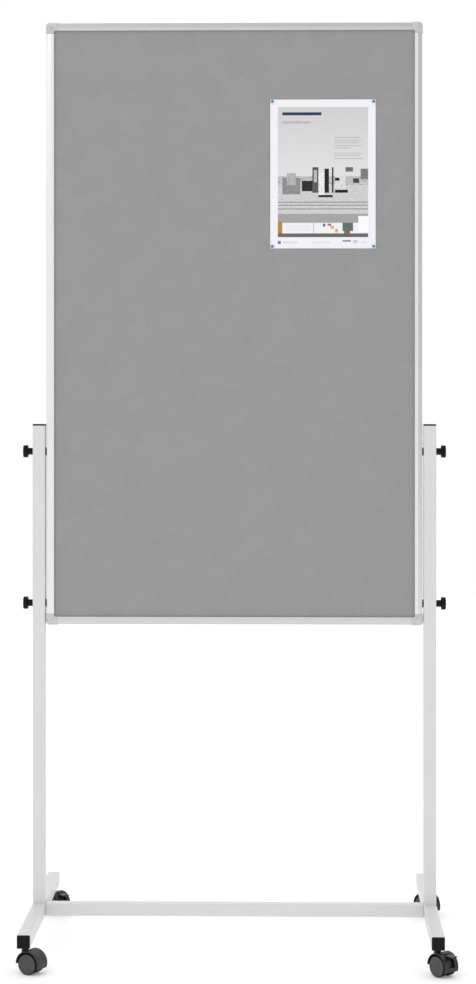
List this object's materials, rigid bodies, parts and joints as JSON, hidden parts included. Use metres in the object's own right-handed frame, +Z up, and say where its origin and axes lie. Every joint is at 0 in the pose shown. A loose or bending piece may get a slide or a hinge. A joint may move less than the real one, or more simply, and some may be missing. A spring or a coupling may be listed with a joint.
{
  "type": "rolling whiteboard",
  "caption": "Mobile board on a square-tube stand with twin-wheel casters: grey felt pin board in front, white enamelled steel behind, height set by side clamp knobs",
  "frame": {"origin": "on the floor, midway between the two posts and midway between the front and rear ends of the feet", "axes": "+X to the right seen from the felt side, +Y from the felt side to the whiteboard side, +Z up"},
  "size_m": [0.8501, 0.5609, 1.835],
  "materials": {
    "painted_steel": "silver-white powder coat, satin",
    "steel": "zinc plated, satin",
    "aluminium": "silver anodised, satin",
    "grey_plastic": "moulded light grey plastic, matte",
    "black_plastic": "moulded black plastic, satin",
    "caster_black": "moulded black nylon, satin",
    "wheel_grey": "dark grey moulded wheel, matte",
    "felt": "grey needle felt, matte",
    "core_board": "light fibre board, matte",
    "white_enamel": "white enamelled steel, gloss",
    "paper": "printed paper, matte",
    "blue_plastic": "teal blue moulded plastic, gloss"
  },
  "bodies": {
    "stand": {"left_post": "painted_steel", "right_post": "painted_steel", "post_top_caps": "black_plastic", "left_foot": "painted_steel", "right_foot": "painted_steel", "foot_end_caps": "black_plastic", "crossbar": "painted_steel", "crossbar_end_plates": "steel", "crossbar_bolts": "steel", "post_nut_blocks": "steel", "post_bolts": "steel", "caster_sockets": "steel", "clamp_spacers": "black_plastic", "clamp_nuts": "steel"},
    "board": {"left_rail": "aluminium", "right_rail": "aluminium", "top_rail": "aluminium", "bottom_rail": "aluminium", "top_left_corner_cap": "grey_plastic", "top_right_corner_cap": "grey_plastic", "bottom_left_corner_cap": "grey_plastic", "bottom_right_corner_cap": "grey_plastic", "corner_set_screws": "steel", "board_core": "core_board", "felt_face": "felt", "whiteboard_face": "white_enamel", "pinned_sheet": "paper", "push_pins": "blue_plastic"},
    "left_lower_clamp": {"left_lower_knob": "black_plastic"},
    "left_upper_clamp": {"left_upper_knob": "black_plastic"},
    "right_lower_clamp": {"right_lower_knob": "black_plastic"},
    "right_upper_clamp": {"right_upper_knob": "black_plastic"},
    "front_left_caster": {"front_left_caster_hood": "caster_black", "front_left_caster_stem": "steel", "front_left_caster_axle": "steel"},
    "front_left_left_wheel": {"front_left_caster_left_wheel": "wheel_grey"},
    "front_left_right_wheel": {"front_left_caster_right_wheel": "wheel_grey"},
    "front_right_caster": {"front_right_caster_hood": "caster_black", "front_right_caster_stem": "steel", "front_right_caster_axle": "steel"},
    "front_right_left_wheel": {"front_right_caster_left_wheel": "wheel_grey"},
    "front_right_right_wheel": {"front_right_caster_right_wheel": "wheel_grey"},
    "front_right_brake": {"front_right_brake_lever": "caster_black"},
    "rear_left_caster": {"rear_left_caster_hood": "caster_black", "rear_left_caster_stem": "steel", "rear_left_caster_axle": "steel"},
    "rear_left_left_wheel": {"rear_left_caster_left_wheel": "wheel_grey"},
    "rear_left_right_wheel": {"rear_left_caster_right_wheel": "wheel_grey"},
    "rear_left_brake": {"rear_left_brake_lever": "caster_black"},
    "rear_right_caster": {"rear_right_caster_hood": "caster_black", "rear_right_caster_stem": "steel", "rear_right_caster_axle": "steel"},
    "rear_right_left_wheel": {"rear_right_caster_left_wheel": "wheel_grey"},
    "rear_right_right_wheel": {"rear_right_caster_right_wheel": "wheel_grey"},
    "rear_right_brake": {"rear_right_brake_lever": "caster_black"}
  },
  "joints": [
    {"name": "board_height", "type": "slide", "parent": "stand", "child": "board", "axis": [0, 0, 1], "range_m": [-0.53, 0]},
    {"name": "left_lower_knob_turn", "type": "hinge", "parent": "stand", "child": "left_lower_clamp", "pos_m": [-0.412, 0, 0.676], "axis": [-1, 0, 0], "range_deg": [0, 720]},
    {"name": "left_upper_knob_turn", "type": "hinge", "parent": "stand", "child": "left_upper_clamp", "pos_m": [-0.412, 0, 0.979], "axis": [-1, 0, 0], "range_deg": [0, 720]},
    {"name": "right_lower_knob_turn", "type": "hinge", "parent": "stand", "child": "right_lower_clamp", "pos_m": [0.412, 0, 0.676], "axis": [1, 0, 0], "range_deg": [0, 720]},
    {"name": "right_upper_knob_turn", "type": "hinge", "parent": "stand", "child": "right_upper_clamp", "pos_m": [0.412, 0, 0.979], "axis": [1, 0, 0], "range_deg": [0, 720]},
    {"name": "front_left_swivel", "type": "hinge", "parent": "stand", "child": "front_left_caster", "pos_m": [-0.39, -0.245, 0.06], "axis": [0, 0, 1], "continuous": true},
    {"name": "front_left_left_roll", "type": "hinge", "parent": "front_left_caster", "child": "front_left_left_wheel", "pos_m": [-0.37708, -0.25158, 0.02], "axis": [0.454, 0.891, 0], "continuous": true},
    {"name": "front_left_right_roll", "type": "hinge", "parent": "front_left_caster", "child": "front_left_right_wheel", "pos_m": [-0.37708, -0.25158, 0.02], "axis": [0.454, 0.891, 0], "continuous": true},
    {"name": "front_right_swivel", "type": "hinge", "parent": "stand", "child": "front_right_caster", "pos_m": [0.39, -0.245, 0.06], "axis": [0, 0, 1], "continuous": true},
    {"name": "front_right_left_roll", "type": "hinge", "parent": "front_right_caster", "child": "front_right_left_wheel", "pos_m": [0.39932, -0.25611, 0.02], "axis": [0.766, 0.6428, 0], "continuous": true},
    {"name": "front_right_right_roll", "type": "hinge", "parent": "front_right_caster", "child": "front_right_right_wheel", "pos_m": [0.39932, -0.25611, 0.02], "axis": [0.766, 0.6428, 0], "continuous": true},
    {"name": "front_right_brake_press", "type": "hinge", "parent": "front_right_caster", "child": "front_right_brake", "pos_m": [0.40189, -0.25917, 0.034], "axis": [0.766, 0.6428, 0], "range_deg": [0, 6]},
    {"name": "rear_left_swivel", "type": "hinge", "parent": "stand", "child": "rear_left_caster", "pos_m": [-0.39, 0.245, 0.06], "axis": [0, 0, 1], "continuous": true},
    {"name": "rear_left_left_roll", "type": "hinge", "parent": "rear_left_caster", "child": "rear_left_left_wheel", "pos_m": [-0.37975, 0.23475, 0.02], "axis": [0.7071, 0.7071, 0], "continuous": true},
    {"name": "rear_left_right_roll", "type": "hinge", "parent": "rear_left_caster", "child": "rear_left_right_wheel", "pos_m": [-0.37975, 0.23475, 0.02], "axis": [0.7071, 0.7071, 0], "continuous": true},
    {"name": "rear_left_brake_press", "type": "hinge", "parent": "rear_left_caster", "child": "rear_left_brake", "pos_m": [-0.37692, 0.23192, 0.034], "axis": [0.7071, 0.7071, 0], "range_deg": [0, 6]},
    {"name": "rear_right_swivel", "type": "hinge", "parent": "stand", "child": "rear_right_caster", "pos_m": [0.39, 0.245, 0.06], "axis": [0, 0, 1], "continuous": true},
    {"name": "rear_right_left_roll", "type": "hinge", "parent": "rear_right_caster", "child": "rear_right_left_wheel", "pos_m": [0.3979, 0.23284, 0.02], "axis": [0.8387, 0.5446, 0], "continuous": true},
    {"name": "rear_right_right_roll", "type": "hinge", "parent": "rear_right_caster", "child": "rear_right_right_wheel", "pos_m": [0.3979, 0.23284, 0.02], "axis": [0.8387, 0.5446, 0], "continuous": true},
    {"name": "rear_right_brake_press", "type": "hinge", "parent": "rear_right_caster", "child": "rear_right_brake", "pos_m": [0.40008, 0.22948, 0.034], "axis": [0.8387, 0.5446, 0], "range_deg": [0, 6]}
  ]
}
